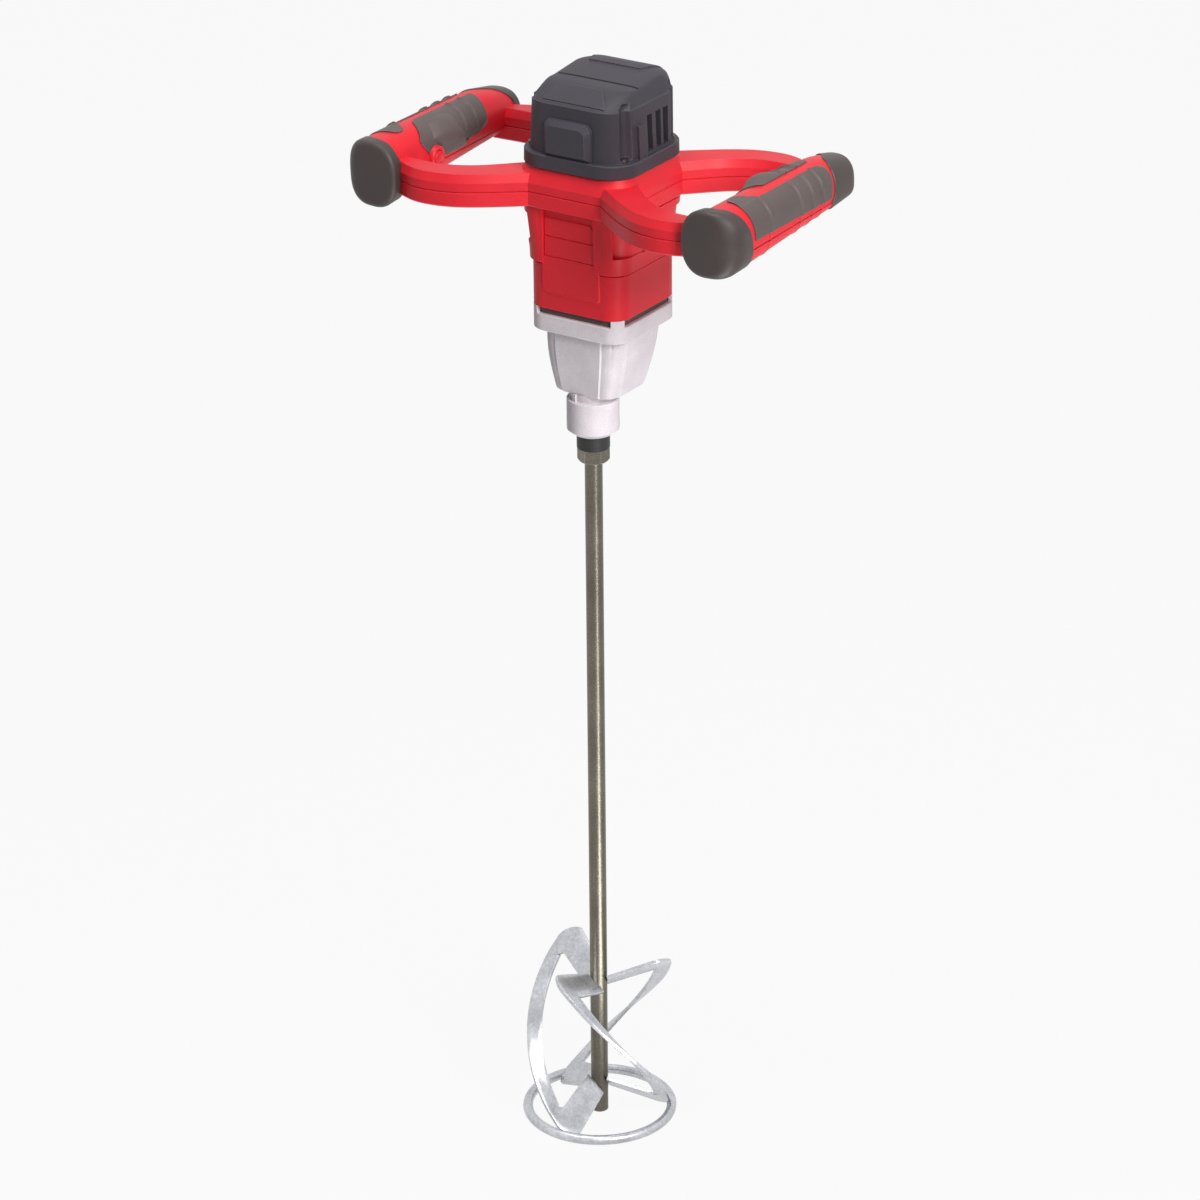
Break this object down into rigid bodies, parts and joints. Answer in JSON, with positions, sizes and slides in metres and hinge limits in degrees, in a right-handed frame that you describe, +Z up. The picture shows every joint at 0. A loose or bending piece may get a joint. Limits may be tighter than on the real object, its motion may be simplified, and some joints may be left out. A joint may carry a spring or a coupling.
{
  "type": "mixing drill",
  "caption": "Two-handed mixing drill: upright motor over a cast gearbox, H-shaped handle frame with rubber grips and a long ribbon paddle screwed into its spindle.",
  "frame": {"origin": "spindle axis at the lower edge of the round clamping collar of the gearbox casting", "axes": "+Z up the spindle axis towards the motor cap, +Y towards the motor (away from the user's trigger thumb), +X to the right handle; the paddle hangs along -Z"},
  "size_m": [0.352, 0.188, 0.8893],
  "materials": {
    "red_plastic": "satin moulded",
    "charcoal_plastic": "fine grain moulded",
    "grip_rubber": "matt moulded",
    "cast_aluminium": "fine blasted casting",
    "black_steel": "black oxide",
    "screw_steel": "zinc plated",
    "bearing_steel": "ground",
    "bush_bronze": "sintered",
    "laminated_steel": "stamped stack",
    "winding_copper": "enamelled copper",
    "brush_carbon": "pressed carbon",
    "turned_steel": "drawn bright",
    "zinc_steel": "bright zinc"
  },
  "bodies": {
    "tool_body": {"air_shroud_left": "red_plastic", "air_shroud_right": "red_plastic", "bearing_plate": "cast_aluminium", "brush_holders": "charcoal_plastic", "brush_springs": "screw_steel", "carbon_brushes": "brush_carbon", "cord_gland": "grip_rubber", "end_cap_left_front": "grip_rubber", "end_cap_left_rear": "grip_rubber", "end_cap_right_front": "grip_rubber", "end_cap_right_rear": "grip_rubber", "field_coils": "winding_copper", "gearbox_housing": "cast_aluminium", "gearbox_screws": "screw_steel", "grip_pad_left_inner": "grip_rubber", "grip_pad_left_outer": "grip_rubber", "grip_pad_right_inner": "grip_rubber", "grip_pad_right_outer": "grip_rubber", "handle_frame_lower": "red_plastic", "handle_frame_screws": "screw_steel", "handle_frame_upper": "red_plastic", "layshaft_bushes": "bush_bronze", "lock_button_spring": "screw_steel", "motor_cap": "charcoal_plastic", "motor_cap_screws": "screw_steel", "motor_housing": "red_plastic", "rotor_bearing_outer_races": "bearing_steel", "spindle_bearing_outer_races": "bearing_steel", "spindle_seal": "grip_rubber", "stator_core": "laminated_steel", "switch_body": "charcoal_plastic", "trigger_pin": "screw_steel", "trigger_spring": "screw_steel", "upper_bearing_bridge": "charcoal_plastic"},
    "spindle": {"spindle": "black_steel", "spindle_bearing_inner_races": "bearing_steel", "output_gear": "bearing_steel", "output_gear_key": "screw_steel", "paddle_hexagon": "turned_steel", "paddle_rod": "turned_steel", "paddle_ring": "zinc_steel", "mixing_blade_a": "zinc_steel", "mixing_blade_b": "zinc_steel", "mixing_blade_c": "zinc_steel"},
    "layshaft": {"layshaft": "bearing_steel", "layshaft_gear": "bearing_steel"},
    "rotor": {"rotor_shaft": "bearing_steel", "rotor_core": "laminated_steel", "rotor_windings": "winding_copper", "commutator": "winding_copper", "cooling_fan": "charcoal_plastic", "rotor_bearing_inner_races": "bearing_steel"},
    "trigger": {"trigger": "charcoal_plastic"},
    "lock_button": {"lock_button": "red_plastic"}
  },
  "joints": [
    {"name": "spindle_spin", "type": "hinge", "parent": "tool_body", "child": "spindle", "pos_m": [0, 0, 0], "axis": [0, 0, 1], "continuous": true},
    {"name": "layshaft_spin", "type": "hinge", "parent": "tool_body", "child": "layshaft", "pos_m": [0.01833, 0.02215, 0], "axis": [0, 0, 1], "continuous": true},
    {"name": "rotor_spin", "type": "hinge", "parent": "tool_body", "child": "rotor", "pos_m": [0, 0.0155, 0], "axis": [0, 0, 1], "continuous": true},
    {"name": "trigger_press", "type": "hinge", "parent": "tool_body", "child": "trigger", "pos_m": [-0.13717, 0.0275, 0.2], "axis": [0, 0, -1], "range_deg": [0, 9], "stiffness_Nm_per_rad": 1.5, "springref_deg": -5.73, "deforming": ["trigger_spring"]},
    {"name": "lock_press", "type": "slide", "parent": "tool_body", "child": "lock_button", "axis": [-1, 0, 0], "range_m": [0, 0.003], "stiffness_N_per_m": 900, "springref_m": -0.002, "deforming": ["lock_button_spring"]}
  ],
  "couplings": [
    {"joint": "layshaft_spin", "follows": "spindle_spin", "ratio": -3.1818},
    {"joint": "rotor_spin", "follows": "spindle_spin", "ratio": 10.606}
  ]
}
